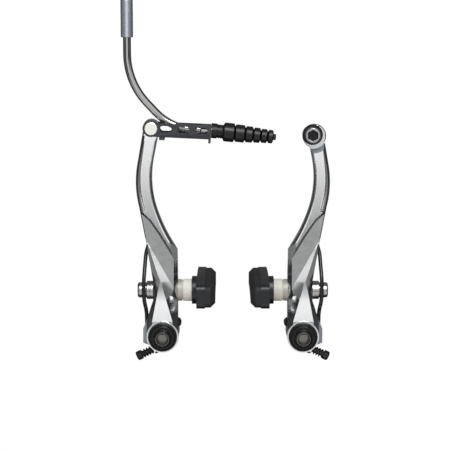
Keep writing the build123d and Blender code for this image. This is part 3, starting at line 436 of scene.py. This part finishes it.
class Bench:
    """Mesh work that every sub-assembly uses.

    Attributes:
        WELD: Corners closer than this, in metres, are one.
        FLAT: Faces that turn by less than this, in degrees, are one face.
        SHARP: Edges that turn by more than this, in degrees, are broken.
        STEPS: Faces across a broken edge.
    """

    WELD = 1e-7
    FLAT = 0.6
    SHARP = 24.0
    STEPS = 2

    @classmethod
    def merged(cls, node: str) -> bmesh.types.BMesh:
        """Copy a solid's mesh, with its triangles joined.

        Args:
            node: Name of the solid.

        Returns:
            The copy.
        """
        mesh = bmesh.new()
        mesh.from_mesh(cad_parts[node].data)
        bmesh.ops.remove_doubles(mesh, verts=mesh.verts, dist=cls.WELD)
        return mesh

    @classmethod
    def copy(cls, node: str) -> bmesh.types.BMesh:
        """Copy a solid's mesh, with its triangles joined and its flat faces made whole.

        Args:
            node: Name of the solid.

        Returns:
            The copy, ready for its edges to be broken.
        """
        mesh = cls.merged(node)
        bmesh.ops.dissolve_limit(
            mesh, angle_limit=radians(cls.FLAT), use_dissolve_boundaries=False, verts=mesh.verts,
            edges=mesh.edges,
        )
        return mesh

    @staticmethod
    def bevel(
        mesh: bmesh.types.BMesh, lines: list[bmesh.types.BMEdge], reach: float, steps: int, clamp: bool
    ) -> list[bmesh.types.BMVert]:
        """Round some edges of a mesh.

        Args:
            mesh: Mesh to work on.
            lines: The edges.
            reach: How far the rounding reaches over the faces, in metres.
            steps: Faces across it.
            clamp: Whether it stops where it would meet another one.

        Returns:
            The corners of the rounding.
        """
        return bmesh.ops.bevel(
            mesh, geom=lines, offset=reach, offset_type="OFFSET", affect="EDGES", segments=steps,
            profile=0.5, material=-1, clamp_overlap=clamp,
        )["verts"]

    @classmethod
    def soften(cls, mesh: bmesh.types.BMesh, edge: Edge, angle: float = SHARP) -> None:
        """Break the sharp edges of a mesh.

        Args:
            mesh: Mesh to work on.
            edge: How far the edges are broken.
            angle: Edges that turn by more than this, in degrees, are sharp.
        """
        sharp = [line for line in mesh.edges if line.calc_face_angle(0.0) > radians(angle)]
        cls.bevel(mesh, sharp, edge.value, cls.STEPS, clamp=True)

    @classmethod
    def lathe(cls, profile: Profile, start: Vector, along: Vector, steps: int = 72) -> bmesh.types.BMesh:
        """Turn a ring about an axis.

        Args:
            profile: Corners of its section as (distance along the axis, radius), in millimetres.
            start: Place on the axis that distances count from.
            along: Direction of the axis.
            steps: Faces round the axis.

        Returns:
            The ring, closed and facing outwards.
        """
        mesh = bmesh.new()
        axis = along.normalized()
        out = axis.orthogonal().normalized()
        loop = profile + profile[:1]
        verts = [mesh.verts.new(start + axis * (a * MM) + out * (r * MM)) for a, r in loop]
        edges = [mesh.edges.new(pair) for pair in zip(verts, verts[1:])]
        bmesh.ops.spin(
            mesh, geom=verts + edges, cent=start, axis=axis, dvec=(0, 0, 0), angle=2 * pi, steps=steps,
            use_merge=True, use_duplicate=False,
        )
        bmesh.ops.remove_doubles(mesh, verts=mesh.verts, dist=cls.WELD)
        bmesh.ops.recalc_face_normals(mesh, faces=mesh.faces)
        return mesh

    @staticmethod
    def place(mesh: bmesh.types.BMesh, name: str, material: bpy.types.Material) -> bpy.types.Object:
        """Put a mesh in the scene.

        Args:
            mesh: The shape; it is freed.
            name: Name of the object.
            material: Its material.

        Returns:
            The object, at the origin.
        """
        data = bpy.data.meshes.new(name)
        mesh.to_mesh(data)
        mesh.free()
        data.materials.append(material)
        placed = bpy.data.objects.new(name, data)
        bpy.context.scene.collection.objects.link(placed)
        return placed

    @classmethod
    def piece(
        cls, mesh: bmesh.types.BMesh, name: str, finish: Finish, smooth: float = 38.0
    ) -> bpy.types.Object:
        """Make a finished object of a mesh.

        Args:
            mesh: The shape; it is freed.
            name: Name of the piece.
            finish: Its finish.
            smooth: Edges that turn by less than this, in degrees, are shaded as one surface.

        Returns:
            The object, in place and with its material.
        """
        piece = cls.place(mesh, name, finish.material())
        piece.data.shade_smooth()
        piece.data.set_sharp_from_angle(angle=radians(smooth))
        even = piece.modifiers.new("even_normals", "WEIGHTED_NORMAL")
        even.keep_sharp = True
        log.info("made %s: %d faces, %s", name, len(piece.data.polygons), finish.name)
        return piece

    @classmethod
    def softened(cls, node: str, body: str, finish: Finish, edge: Edge) -> None:
        """Replace a solid by a copy with broken edges.

        Args:
            node: Name of the solid.
            body: Body that it rides on.
            finish: Its finish.
            edge: How far the edges are broken.
        """
        mesh = cls.copy(node)
        cls.soften(mesh, edge)
        piece = cls.piece(mesh, f"{node}_dressed", finish)
        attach(piece, body)
        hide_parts(node)


def dress(node: str, finish: Finish) -> None:
    """Give a solid that stays as it is its finish.

    Args:
        node: Name of the solid.
        finish: The finish.
    """
    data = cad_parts[node].data
    data.materials.clear()
    data.materials.append(finish.material())
    log.info("dressed %s: %s", node, finish.name)


def mouth(bolt: str) -> Vector:
    """Middle of the front of a bolt's head."""
    low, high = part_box(bolt)
    return Vector(((low.x + high.x) / 2, low.y, (low.z + high.z) / 2))


@dataclass
class KeySocket:
    """Hexagon socket in a bolt's head, with a floor of another finish, or a black cup that paints the shade
    inside the socket.

    Attributes:
        bolt: Solid of the bolt.
        body: Body that the bolt belongs to.
        turn: Turn of the hexagon from standing on a corner, in degrees.
        across: Width of the key, in millimetres.
        depth: Depth of the socket.
        play: Room between the floor or the black cup and the socket's walls.
        wall: Thickness of the black cup.
    """

    bolt: str
    body: str
    turn: float = 0.0
    across: float = 5.0
    depth: float = 3.2
    play: float = 0.02
    wall: float = 0.08

    def floor(self, finish: Finish, thick: float = 0.3) -> None:
        """Lay a plate on the socket's floor.

        Args:
            finish: Finish of the plate.
            thick: Its thickness in millimetres.
        """
        mesh = self._prism(self.depth - self.play, thick)
        self._place(mesh, "socket_floor", finish)

    def painted_shade_cup(self, finish: Finish, deep: float) -> None:
        """Put a black cup in the socket, as painted shade inside it.

        Args:
            finish: Finish of the cup.
            deep: Depth of the cup in millimetres.
        """
        mesh = self._prism(self.depth - self.play, self.depth - 2 * self.play)
        top = min(mesh.faces, key=lambda face: face.calc_center_median().y)
        bmesh.ops.inset_region(mesh, faces=[top], thickness=self.wall * MM)
        bmesh.ops.translate(mesh, verts=top.verts, vec=(0, deep * MM, 0))
        self._place(mesh, "socket_painted_shade", finish)

    def _prism(self, bottom: float, height: float) -> bmesh.types.BMesh:
        """Hexagonal prism in the socket.

        Args:
            bottom: Depth of its bottom below the socket's mouth, in millimetres.
            height: Its height.

        Returns:
            The closed prism.
        """
        centre = mouth(self.bolt)
        centre.y += bottom * MM
        upright = Matrix.Rotation(pi / 2, 4, "X") @ Matrix.Rotation(radians(self.turn), 4, "Z")
        place = Matrix.Translation(centre) @ upright
        radius = (self.across / 2 - self.play) / cos(pi / HEXAGON) * MM
        mesh = bmesh.new()
        bmesh.ops.create_circle(mesh, cap_ends=True, segments=HEXAGON, radius=radius, matrix=place)
        grown = bmesh.ops.extrude_face_region(mesh, geom=mesh.faces[:])["geom"]
        raised = [vert for vert in grown if isinstance(vert, bmesh.types.BMVert)]
        bmesh.ops.translate(mesh, verts=raised, vec=(0, -height * MM, 0))
        bmesh.ops.recalc_face_normals(mesh, faces=mesh.faces)
        return mesh

    def _place(self, mesh: bmesh.types.BMesh, suffix: str, finish: Finish) -> None:
        """Make the piece and let it ride with the bolt.

        Args:
            mesh: Its shape.
            suffix: End of its name.
            finish: Its finish.
        """
        piece = Bench.piece(mesh, f"{self.bolt}_{suffix}", finish)
        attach(piece, self.body)


@dataclass
class Pivot:
    """Bush, cap and fixing bolt of one arm, with the holder behind it.

    Attributes:
        side: Which arm it carries.
        rim_r: Outer radius of the bare ring round the key socket, in millimetres.
        socket_r: Inner radius of that ring.
        rim: Height of the ring.
        sunk: How deep the ring reaches into the bolt's head.
        key_turn: Turn of the key socket, in degrees.
    """

    side: Side
    rim_r: float = 3.42
    socket_r: float = 3.2
    rim: float = 0.06
    sunk: float = 0.2
    key_turn: float = 30.0

    def build(self) -> None:
        """Make and dress the pieces of the pivot."""
        side = self.side
        Bench.softened(side.node("pivot_cap"), "mounts", CAP_BLACK, Edge.MACHINED)
        Bench.softened(side.node("pivot_bolt"), "mounts", BLACK_STEEL, Edge.MACHINED)
        Bench.softened(side.node("spring_holder"), "mounts", CAP_BLACK, Edge.MOULDED)
        Bench.softened(side.node("stop_pin"), "mounts", ZINC_PLATE, Edge.MACHINED)
        dress(side.node("pivot_bush"), ZINC_PLATE)
        self._key_ring()
        KeySocket(side.node("pivot_bolt"), "mounts", turn=self.key_turn).floor(KEY_STEEL)

    def _key_ring(self) -> None:
        """Bare metal ring where the key has rubbed the coat off the socket's mouth."""
        inner, outer = self.socket_r, self.rim_r
        profile = [(-self.sunk, inner), (self.rim, inner), (self.rim, outer), (-self.sunk, outer)]
        mesh = Bench.lathe(profile, mouth(self.side.node("pivot_bolt")), Vector((0, -1, 0)))
        ring = Bench.piece(mesh, self.side.node("key_ring"), KEY_STEEL)
        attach(ring, "mounts")


@dataclass
class ReturnSpring:
    """Wire spring that bends between its holder and the arm.

    Attributes:
        side: Which arm it opens.
        smooth: Edges of the wire that turn by less than this, in degrees, are shaded as one surface.
    """

    side: Side
    smooth: float = 60.0

    def build(self) -> None:
        """Make the spring as a loose copy with its placing baked in, and dress its hook."""
        node = self.side.node("return_spring")
        spring = Bench.piece(Bench.merged(node), f"{node}_bending", SPRING_BLACK, self.smooth)
        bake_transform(spring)
        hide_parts(node)
        Bench.softened(self.side.node("spring_hook"), self.side.arm, ZINC_PLATE, Edge.MACHINED)


@dataclass(frozen=True)
class Rounding:
    """Rounding along one edge of the bar's front.

    Attributes:
        reach: How far it reaches over the front, in millimetres.
        steps: Faces across it.
        low: Height where it begins.
        high: Height where it ends.
        top: Share of its reach that is left there.
    """

    reach: float
    steps: int
    low: float
    high: float = 100.5
    top: float = 1.0

    def kept(self, height: float) -> float:
        """Share of the reach at a height in millimetres."""
        rise = (height - self.low) / (self.high - self.low)
        return 1 + (self.top - 1) * min(1.0, max(0.0, rise))


@dataclass(frozen=True)
class Patch:
    """Faces of the forging that take a darker copy of its finish, which paints the shade on them.

    Attributes:
        finish: The darker copy, with the painted shade.
        heights: Heights between which they lie, in millimetres.
        depths: How far they lie in front of the seat plane, least and most.
        facing: How far they look to the front: 1 for straight ahead, 0 for a side.
    """

    finish: Finish
    heights: tuple[float, float]
    depths: tuple[float, float]
    facing: tuple[float, float] = (AHEAD, 2 - AHEAD)

    def holds(self, face: bmesh.types.BMFace) -> bool:
        """Whether a face of the arm belongs to the patch.

        Args:
            face: Face of the arm's copy.

        Returns:
            True if its middle and its direction are within the patch's ranges.
        """
        middle = face.calc_center_median() / MM
        values = ((middle.z, self.heights), (-middle.y, self.depths), (-face.normal.y, self.facing))
        return all(least < value < most for value, (least, most) in values)


HEAD_FLOOR = Patch(HEAD_SATIN_SHADE, heights=(98.0, 112.0), depths=(16.8, 17.04))
# Patches of painted shade: the logo facet, the ear, the step, the head's floor and the slope below the head.
ARM_SHADE_PATCHES = (
    Patch(FACET_SATIN_SHADE, heights=(20.0, 64.0), depths=(17.2, 17.6)),
    Patch(RECESS_PAINTED_SHADE, heights=(-8.0, 10.0), depths=(15.2, 15.6)),
    Patch(STEP_SHADE, heights=(36.0, 66.0), depths=(17.42, 19.18), facing=(0.5, 0.7)),
    HEAD_FLOOR,
    Patch(RECESS_PAINTED_SHADE, heights=(93.5, 100.0), depths=(17.04, 19.16), facing=(0.66, 0.76)),
)


@dataclass
class BrakeArm:
    """Forged arm with its tension screw.

    Attributes:
        side: Which arm it is.
        inner: Rounding of the bar's inner edge.
        outer: Rounding of the bar's outer edge.
        brow: Reach of the rounding round the front of the head, in millimetres.
        brow_steps: Faces across that rounding.
        sliver: Edges shorter than this are closed first, and those half as short after the rounding.
        sharp: Edges that turn by more than this, in degrees, are broken.
        aside: Least share of a flank's normal that points to its side.
        ahead: Least and most share of it that points to the front.
        upright: Share below which a face is part of the upright wall round the head.
    """

    side: Side
    inner: Rounding = Rounding(reach=0.7, steps=4, low=49.0)
    outer: Rounding = Rounding(reach=2.1, steps=6, low=64.8, top=0.2)
    brow: float = 0.8
    brow_steps: int = 4
    sliver: float = 0.12
    sharp: float = 14.0
    aside: float = 0.5
    ahead: tuple[float, float] = (0.2, 0.55)
    upright: float = 0.1

    def build(self) -> None:
        """Round and soften the forging, and dress the screw."""
        side = self.side
        mesh = Bench.copy(side.node("arm"))
        bmesh.ops.dissolve_degenerate(mesh, dist=self.sliver * MM, edges=mesh.edges)
        # Faces in a patch take its painted shade as a material of their own.
        for number, patch in enumerate(ARM_SHADE_PATCHES, 1):
            for face in filter(patch.holds, mesh.faces):
                face.material_index = number
        self._round_bar(mesh, side.inward, self.inner)
        self._round_bar(mesh, -side.inward, self.outer)
        self._round_head(mesh)
        bmesh.ops.dissolve_degenerate(mesh, dist=self.sliver / 2 * MM, edges=mesh.edges)
        Bench.soften(mesh, Edge.FORGED, self.sharp)
        arm = Bench.piece(mesh, side.node("arm_dressed"), FORGED_SILVER)
        for patch in ARM_SHADE_PATCHES:
            arm.data.materials.append(patch.finish.material())
        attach(arm, side.arm)
        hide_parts(side.node("arm"))
        Bench.softened(side.node("tension_screw"), f"{side.value}_screw", BLACK_STEEL, Edge.MACHINED)
        dress(side.node("screw_coil"), SPRING_BLACK)

    def _round_bar(self, mesh: bmesh.types.BMesh, towards: int, rounding: Rounding) -> None:
        """Round one edge of the upper bar's front between two heights.

        Args:
            mesh: Copy of the arm.
            towards: Direction along X that the edge's flank faces.
            rounding: How it is rounded.
        """
        for height in (rounding.low, rounding.high):
            near = [*self._flanks(mesh, towards), self._front(mesh)]
            geom = {part for face in near for part in (face, *face.edges, *face.verts)}
            bmesh.ops.bisect_plane(mesh, geom=list(geom), plane_co=(0, 0, height * MM), plane_no=(0, 0, 1))
        mesh.normal_update()
        flanks = set(self._flanks(mesh, towards))
        along = []
        for line in mesh.edges:
            middle = (line.verts[0].co.z + line.verts[1].co.z) / 2 / MM
            flat = any(map(self._looks_ahead, line.link_faces))
            if flat and flanks.intersection(line.link_faces) and rounding.low < middle < rounding.high:
                along.append(line)
        spine = [(line.verts[0].co.copy(), line.verts[1].co.copy()) for line in along]
        for vert in Bench.bevel(mesh, along, rounding.reach * MM, rounding.steps, clamp=False):
            feet = [self._foot(vert.co, *ends) for ends in spine]
            foot = min(feet, key=lambda place: (place - vert.co).length)
            vert.co = foot.lerp(vert.co, rounding.kept(foot.z / MM))
        log.info("rounded %d edges of %s", len(along), self.side.arm)

    def _round_head(self, mesh: bmesh.types.BMesh) -> None:
        """Round the outer front edge of the clamp's head, which only one arm has.

        Args:
            mesh: Copy of the arm.
        """
        mesh.normal_update()
        floor = max(filter(HEAD_FLOOR.holds, mesh.faces), key=lambda face: face.calc_area(), default=None)
        if floor is None:
            return
        centre = floor.calc_center_bounds()
        rim = []
        for line in floor.edges:
            out = (line.verts[0].co + line.verts[1].co) / 2 - centre
            walls = [face for face in line.link_faces if abs(face.normal.y) < self.upright]
            if any(face.normal.dot(out) > 0 for face in walls):
                rim.append(line)
        Bench.bevel(mesh, rim, self.brow * MM, self.brow_steps, clamp=False)
        log.info("rounded %d edges of the head of %s", len(rim), self.side.arm)

    @staticmethod
    def _foot(place: Vector, start: Vector, end: Vector) -> Vector:
        """The point of a line between two ends that lies nearest to a place."""
        _, share = intersect_point_line(place, start, end)
        return start.lerp(end, min(1.0, max(0.0, share)))

    @staticmethod
    def _looks_ahead(face: bmesh.types.BMFace) -> bool:
        """Whether a face looks straight to the front."""
        return face.normal.y < -AHEAD

    def _front(self, mesh: bmesh.types.BMesh) -> bmesh.types.BMFace:
        """The largest face that looks straight to the front."""
        return max(filter(self._looks_ahead, mesh.faces), key=lambda face: face.calc_area())

    def _flanks(self, mesh: bmesh.types.BMesh, towards: int) -> list[bmesh.types.BMFace]:
        """The bar's narrow sloping faces on one side.

        Args:
            mesh: Copy of the arm.
            towards: Direction along X that they face.

        Returns:
            The faces.
        """
        least, most = self.ahead
        beside = [face for face in mesh.faces if face.normal.x * towards > self.aside]
        return [face for face in beside if least < -face.normal.y < most]


@dataclass
class BrakeShoe:
    """Shoe of one arm: post, washers, nut, backing and pad.

    Attributes:
        side: Which arm it is clamped to.
    """

    side: Side

    def build(self) -> None:
        """Soften and dress the pieces of the shoe."""
        side = self.side
        finishes = {
            "inner_cup_washer": CUP_GREY, "shoe_spacer": SPACER_CREAM, "outer_cup_washer": ZINC_PLATE,
            "outer_dome_washer": ZINC_PLATE, "shoe_nut": ZINC_PLATE, "shoe_post": ZINC_PLATE,
        }
        for piece, finish in finishes.items():
            Bench.softened(side.node(piece), side.arm, finish, Edge.MACHINED)
        Bench.softened(side.node("pad_backing"), side.arm, SHOE_BLACK, Edge.MOULDED)
        Bench.softened(side.node("brake_pad"), side.arm, PAD_BLACK, Edge.MOULDED)


@dataclass
class CableLink:
    """Stamped link, its pin, and the noodle with its boot.

    Attributes:
        plate: Middle of the end plate's outer face, in millimetres.
        link_tilt: Direction of the link in the front view, in degrees.
        boot_tilt: Direction of the boot.
        collar: Inner and outer radius of the boot's flange against the plate.
        flange: Where the flange begins and ends past the plate.
        ribs: Places of the ribs round the boot's neck, past the plate.
        rib: Inner and outer radius of a rib, and its width.
        slope: Share of that width over which a rib rises.
    """

    plate: Point = (-10.984, -14.7, 105.473)
    link_tilt: float = -2.7
    boot_tilt: float = -5.9
    collar: tuple[float, float] = (2.65, 3.75)
    flange: tuple[float, float] = (0.06, 0.62)
    ribs: tuple[float, ...] = (3.3, 4.2, 5.1)
    rib: tuple[float, float, float] = (3.2, 3.62, 0.5)
    slope: float = 0.25

    def build(self) -> None:
        """Make and dress the pieces of the cable's path."""
        Bench.softened("link_bracket", "link", LINK_SLATE, Edge.STAMPED)
        Bench.softened("link_pin", "link", SATIN_NICKEL, Edge.MACHINED)
        Bench.softened("noodle_tube", "noodle", BRIGHT_STEEL, Edge.MACHINED)
        Bench.softened("noodle_socket", "noodle", FERRULE_GREY, Edge.MACHINED)
        Bench.softened("noodle_nose", "noodle", BRIGHT_STEEL, Edge.MACHINED)
        Bench.softened("boot", "noodle", BOOT_BLACK, Edge.MOULDED)
        (inner, outer), (near, far) = self.collar, self.flange
        self._ring("boot_flange", self.link_tilt, [(near, inner), (near, outer), (far, outer), (far, inner)])
        low, high, wide = self.rib
        rise = wide * self.slope
        for number, place in enumerate(self.ribs, 1):
            start, end = place - wide / 2, place + wide / 2
            profile = [(start, low), (start + rise, high), (end - rise, high), (end, low)]
            self._ring(f"boot_rib_{number}", self.boot_tilt, profile)

    def _ring(self, name: str, tilt: float, profile: Profile) -> None:
        """Turn a rubber ring on the boot's axis.

        Args:
            name: Name of the piece.
            tilt: Direction of its axis in the front view, in degrees.
            profile: Its section as (distance past the plate, radius), in millimetres.
        """
        turn = radians(tilt)
        axis = Vector((cos(turn), 0, sin(turn)))
        mesh = Bench.lathe(profile, Vector(self.plate) * MM, axis)
        ring = Bench.piece(mesh, name, BOOT_BLACK)
        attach(ring, "noodle")


@dataclass
class CableClamp:
    """Washer and bolt that hold the cable on the right arm.

    Attributes:
        cup: Depth of the black cup that paints the shade in the bolt's key socket, in millimetres.
    """

    cup: float = 2.2

    def build(self) -> None:
        """Soften and dress the washer and the bolt."""
        Bench.softened("cable_clamp_washer", Side.RIGHT.arm, BLACK_STEEL, Edge.MACHINED)
        Bench.softened("cable_clamp_bolt", Side.RIGHT.arm, CLAMP_STEEL, Edge.MACHINED)
        # Black cup in the key socket: painted shade inside the socket.
        KeySocket("cable_clamp_bolt", Side.RIGHT.arm).painted_shade_cup(BLACK_STEEL, self.cup)


@dataclass(frozen=True)
class Lamp:
    """Soft square lamp.

    Attributes:
        name: Its name.
        place: Where it hangs.
        size: Side of the square.
        power: Watts.
        mirrored: Whether bright surfaces show it.
    """

    name: str
    place: Point
    size: float
    power: float
    mirrored: bool

    def hang(self, target: Point) -> None:
        """Hang the lamp in the scene.

        Args:
            target: Place that it is aimed at.
        """
        data = bpy.data.lights.new(self.name, "AREA")
        data.size = self.size
        data.energy = self.power
        lamp = bpy.data.objects.new(self.name, data)
        lamp.location = self.place
        lamp.rotation_euler = (Vector(target) - Vector(self.place)).to_track_quat("-Z", "Y").to_euler()
        lamp.visible_glossy = self.mirrored
        bpy.context.scene.collection.objects.link(lamp)


@dataclass
class Studio:
    """Camera, floor, world, lamps, and the cards that bright metal mirrors. Lengths are in metres.

    Attributes:
        target: Place that the camera looks at.
        distance: Camera to target.
        elevation: Angle of the view above level, in degrees.
        lens: Focal length in millimetres.
        sensor: Width of the camera's sensor in millimetres.
        floor_z: Height of the floor.
        floor_half: Half of the floor's width.
        paper: Grey and roughness of the floor.
        ambient: Strength of the world's light.
        lamps: The lamps.
        room: Half width, back, floor and roof of the dark room that reflections see.
        window: How far forward its walls and its roof reach.
        cards_y: Place of the cards in front of the room.
        lens_card: Half width of the graded card below the lens.
        lens_glow: Its brightness at some heights.
        side_card: Inner and outer edge of the cards beside it.
        side_glow: Their brightness at some heights.
        turn: Where the walls turn from grey to dark.
        flank: Brightness of the front of the walls.
        roof: Brightness of the room's roof.
        behind: Brightness of its back.
        dark: Brightness of the rest of the room.
    """

    target: Point = (-0.004, -0.015, 0.0572)
    distance: float = 0.8
    elevation: float = 9.0
    lens: float = 125.5
    sensor: float = 36.0
    floor_z: float = -0.62
    floor_half: float = 6.0
    paper: tuple[float, float] = (0.9, 0.9)
    ambient: float = 0.5
    lamps: tuple[Lamp, ...] = (
        Lamp("key", (0.15, -0.75, 0.85), size=0.5, power=9.0, mirrored=True),
        Lamp("fill", (-0.6, -0.8, 0.25), size=0.8, power=3.0, mirrored=False),
    )
    room: tuple[float, float, float, float] = (0.45, 0.7, -0.6, 0.62)
    window: tuple[float, float] = (-0.30, -0.36)
    cards_y: float = -1.6
    lens_card: float = 0.36
    lens_glow: Glow = ((-0.6, 1.0), (-0.42, 1.0), (-0.29, 0.05), (-0.2, 0.02), (-0.1, 1.0))
    side_card: tuple[float, float] = (0.7, 3.0)
    side_glow: Glow = ((-0.6, 0.05), (0.15, 0.1), (0.6, 1.0))
    turn: float = 0.0
    flank: float = 0.2
    roof: float = 0.2
    behind: float = 0.15
    dark: float = 0.035

    def build(self) -> None:
        """Set up the whole studio."""
        bpy.context.scene.view_settings.view_transform = "Standard"
        self._camera()
        self._world()
        self._floor()
        self._cards()
        for lamp in self.lamps:
            lamp.hang(self.target)

    def _camera(self) -> None:
        """Camera at the photograph's angle."""
        data = bpy.data.cameras.new("camera")
        data.lens = self.lens
        data.sensor_width = self.sensor
        camera = bpy.data.objects.new("camera", data)
        bpy.context.scene.collection.objects.link(camera)
        turn = radians(self.elevation)
        away = Vector((0, -cos(turn), sin(turn)))
        camera.location = Vector(self.target) + away * self.distance
        camera.rotation_euler = (-away).to_track_quat("-Z", "Y").to_euler()
        bpy.context.scene.camera = camera

    @staticmethod
    def _seen(tree: bpy.types.ShaderNodeTree) -> bpy.types.NodeSocket:
        """Value that is 1 for rays that see the background, straight or in a reflection.

        Args:
            tree: Nodes of the floor or the world.

        Returns:
            The socket that gives the value.
        """
        path = tree.nodes.new("ShaderNodeLightPath")
        total = path.outputs["Is Camera Ray"]
        for label in ("Is Glossy Ray", "Is Transmission Ray"):
            most = tree.nodes.new("ShaderNodeMath")
            most.operation = "MAXIMUM"
            tree.links.new(total, most.inputs[0])
            tree.links.new(path.outputs[label], most.inputs[1])
            total = most.outputs["Value"]
        return total

    def _backdrop(
        self, tree: bpy.types.ShaderNodeTree, light: bpy.types.NodeSocket, white: bpy.types.NodeSocket,
        end: str,
    ) -> None:
        """Join the shader that lights the brake to the one that rays see as the background.

        Args:
            tree: Nodes of the floor or the world.
            light: Shader that lights the brake.
            white: Shader that is seen.
            end: Name of the tree's output node.
        """
        mix = tree.nodes.new("ShaderNodeMixShader")
        tree.links.new(self._seen(tree), mix.inputs["Fac"])
        tree.links.new(light, mix.inputs[1])
        tree.links.new(white, mix.inputs[2])
        tree.links.new(mix.outputs["Shader"], tree.nodes[end].inputs["Surface"])

    def _world(self) -> None:
        """White to the camera and in reflections, softer as light."""
        world = bpy.data.worlds.new("studio_world")
        world.use_nodes = True
        tree = world.node_tree
        light = tree.nodes["Background"]
        light.inputs["Color"].default_value = (1.0, 1.0, 1.0, 1.0)
        light.inputs["Strength"].default_value = self.ambient
        white = tree.nodes.new("ShaderNodeBackground")
        white.inputs["Color"].default_value = (1.0, 1.0, 1.0, 1.0)
        self._backdrop(tree, light.outputs["Background"], white.outputs["Background"], "World Output")
        bpy.context.scene.world = world

    def _floor(self) -> None:
        """Plain pale floor, well below the brake."""
        material = bpy.data.materials.new("floor_white")
        material.use_nodes = True
        tree = material.node_tree
        paper = tree.nodes["Principled BSDF"]
        grey, rough = self.paper
        paper.inputs["Base Color"].default_value = (grey, grey, grey, 1.0)
        paper.inputs["Roughness"].default_value = rough
        glow = tree.nodes.new("ShaderNodeEmission")
        self._backdrop(tree, paper.outputs["BSDF"], glow.outputs["Emission"], "Material Output")
        mesh = bmesh.new()
        level = Matrix.Translation((0, 0, self.floor_z))
        bmesh.ops.create_grid(mesh, x_segments=1, y_segments=1, size=self.floor_half, matrix=level)
        floor = Bench.place(mesh, "floor", material)

    def _cards(self) -> None:
        """Dark room with a bright front and cards in front of it, seen only in reflections."""
        wide, back, low, high = self.room
        wall_front, roof_front = self.window
        dark = self._plain("card_dark", self.dark)
        grey = self._plain("card_grey", self.flank)
        walls = (("front", wall_front, self.turn, grey), ("back", self.turn, back, dark))
        for name, x in (("card_left", -wide), ("card_right", wide)):
            for part, near, far, glow in walls:
                corners = [(x, near, low), (x, far, low), (x, far, high), (x, near, high)]
                self._card(f"{name}_{part}", corners, glow)
        above = self._plain("card_above", self.roof)
        decks = (("card_roof", high, roof_front, above), ("card_floor", low, wall_front, dark))
        for name, z, front, glow in decks:
            self._card(name, [(-wide, front, z), (wide, front, z), (wide, back, z), (-wide, back, z)], glow)
        self._across("card_back", (-wide, wide), back, (low, high), self._plain("card_behind", self.behind))
        graded = self._card_material("card_graded", self.lens_glow)
        half, heights = self.lens_card, (self.lens_glow[0][0], self.lens_glow[-1][0])
        self._across("card_lens", (-half, half), self.cards_y, heights, graded)
        beside = self._card_material("card_beside", self.side_glow)
        (inner, outer), heights = self.side_card, (low, self.side_glow[-1][0])
        for name, sign in (("card_low_left", -1), ("card_low_right", 1)):
            self._across(name, (sign * inner, sign * outer), self.cards_y, heights, beside)

    def _plain(self, name: str, value: float) -> bpy.types.Material:
        """Glow that is the same over the height of the room."""
        _, _, low, high = self.room
        return self._card_material(name, ((low, value), (high, value)))

    def _across(
        self, name: str, edges: tuple[float, float], y: float, heights: tuple[float, float],
        material: bpy.types.Material,
    ) -> None:
        """Card that stands across the view.

        Args:
            name: Name of the card.
            edges: Where it begins and ends along X.
            y: How far back it stands.
            heights: Its lower and its upper edge.
            material: Its glow.
        """
        (start, end), (low, high) = edges, heights
        self._card(name, [(start, y, low), (end, y, low), (end, y, high), (start, y, high)], material)

    @staticmethod
    def _card_material(name: str, glow: Glow) -> bpy.types.Material:
        """Plain glow that changes with height.

        Args:
            name: Name of the material.
            glow: Heights, from the lowest up, each with its brightness.

        Returns:
            The material.
        """
        material = bpy.data.materials.new(name)
        material.use_nodes = True
        tree = material.node_tree
        place = tree.nodes.new("ShaderNodeTexCoord")
        split = tree.nodes.new("ShaderNodeSeparateXYZ")
        low, high = glow[0][0], glow[-1][0]
        level = Effects.span(tree, (low, high))
        ramp = tree.nodes.new("ShaderNodeValToRGB")
        stops = ramp.color_ramp.elements
        for height, value in glow[1:-1]:
            stops.new((height - low) / (high - low)).color = (value, value, value, 1.0)
        for stop, (_, value) in ((stops[0], glow[0]), (stops[-1], glow[-1])):
            stop.color = (value, value, value, 1.0)
        emission = tree.nodes.new("ShaderNodeEmission")
        tree.links.new(place.outputs["Object"], split.inputs["Vector"])
        tree.links.new(split.outputs["Z"], level.inputs["Value"])
        tree.links.new(level.outputs["Result"], ramp.inputs["Fac"])
        tree.links.new(ramp.outputs["Color"], emission.inputs["Color"])
        tree.links.new(emission.outputs["Emission"], tree.nodes["Material Output"].inputs["Surface"])
        return material

    @staticmethod
    def _card(name: str, corners: list[Point], material: bpy.types.Material) -> None:
        """One flat card that neither the camera nor the light sees.

        Args:
            name: Name of the card.
            corners: Its four corners in order.
            material: Its glow.
        """
        mesh = bmesh.new()
        mesh.faces.new([mesh.verts.new(corner) for corner in corners])
        card = Bench.place(mesh, name, material)
        card.visible_camera = False
        card.visible_diffuse = False
        card.visible_shadow = False
        card.visible_transmission = False


def main() -> None:
    """Build every sub-assembly in order, then the studio, and note the sizes."""
    logging.basicConfig(level=logging.INFO, format="%(message)s")
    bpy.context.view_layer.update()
    for side in Side:
        Pivot(side).build()
        ReturnSpring(side).build()
        BrakeArm(side).build()
        BrakeShoe(side).build()
    CableLink().build()
    CableClamp().build()
    Studio().build()


if __name__ == "__main__":
    main()
